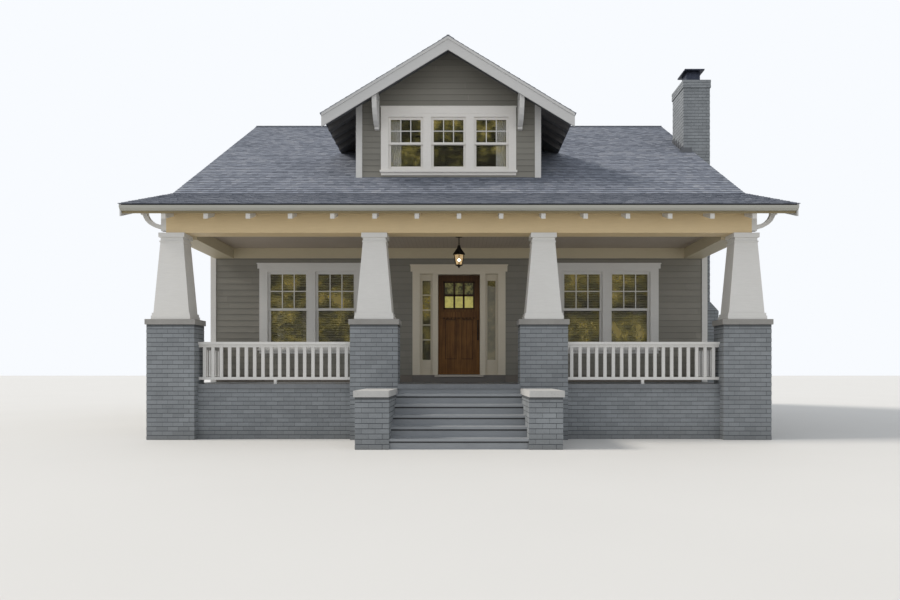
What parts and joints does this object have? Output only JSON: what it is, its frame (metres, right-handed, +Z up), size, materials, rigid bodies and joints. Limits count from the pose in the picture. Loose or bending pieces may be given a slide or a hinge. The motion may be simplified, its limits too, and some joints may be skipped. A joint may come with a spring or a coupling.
{
  "type": "bungalow with a front porch",
  "caption": "Grey side-gabled bungalow with a deep front porch, tapered white columns on brick piers, a front gable dormer and an outside chimney.",
  "frame": {"origin": "on the ground, on the centre line of the front steps, in the plane of the front wall's outer face", "axes": "+X to the right seen from the street, +Y from the street towards the rear, +Z up"},
  "size_m": [12.189, 14.3413, 8.806],
  "materials": {
    "painted_brick": "painted brickwork, matt",
    "floor_boards": "oiled boards",
    "siding": "painted lap boards, satin",
    "trim": "off-white paint, satin",
    "beam_paint": "off-white paint, satin",
    "shingles": "mineral-faced shingles, matt",
    "gutter_paint": "off-white paint, satin",
    "deck_paint": "grey floor paint, satin",
    "ceiling_paint": "blue-grey paint, matt",
    "cap_stone": "cast stone, matt",
    "door_wood": "stained and varnished",
    "dark_bronze": "dark bronze, satin",
    "glass": "clear",
    "lantern_glass": "frosted amber"
  },
  "bodies": {
    "root": {"foundation": "painted_brick", "main_floor": "floor_boards", "upper_floor": "floor_boards", "front_wall": "siding", "left_wall": "siding", "right_wall": "siding", "rear_wall": "siding", "corner_boards": "trim", "porch_frieze": "beam_paint", "main_roof_front": "shingles", "main_roof_rear": "shingles", "porch_roof": "shingles", "barge_boards": "trim", "eave_fascias": "trim", "gutters": "gutter_paint", "rafter_tails": "trim", "knee_braces": "trim", "dormer_front_wall": "siding", "dormer_side_walls": "siding", "dormer_roof": "shingles", "porch_floor": "deck_paint", "porch_base": "painted_brick", "porch_ceiling": "ceiling_paint", "porch_front_beam": "beam_paint", "porch_side_beams": "beam_paint", "porch_gables": "siding", "brick_piers": "painted_brick", "masonry_caps": "cap_stone", "tapered_columns": "trim", "porch_railings": "trim", "stair_treads": "deck_paint", "stair_risers": "deck_paint", "stair_cheek_walls": "painted_brick", "door_surround": "trim", "door_hinges": "dark_bronze", "front_window_frames": "trim", "side_window_frames": "trim", "dormer_window_frames": "trim", "window_glass": "glass", "porch_lantern": "dark_bronze", "lantern_glass": "lantern_glass", "chimney": "painted_brick", "chimney_hood": "dark_bronze"},
    "door": {"door_leaf": "door_wood", "door_glass": "glass", "door_handle": "dark_bronze"}
  },
  "joints": [
    {"name": "front_door_hinge", "type": "hinge", "parent": "root", "child": "door", "pos_m": [-0.4585, 0.166, 0], "axis": [0, 0, 1], "range_deg": [0, 100]}
  ]
}
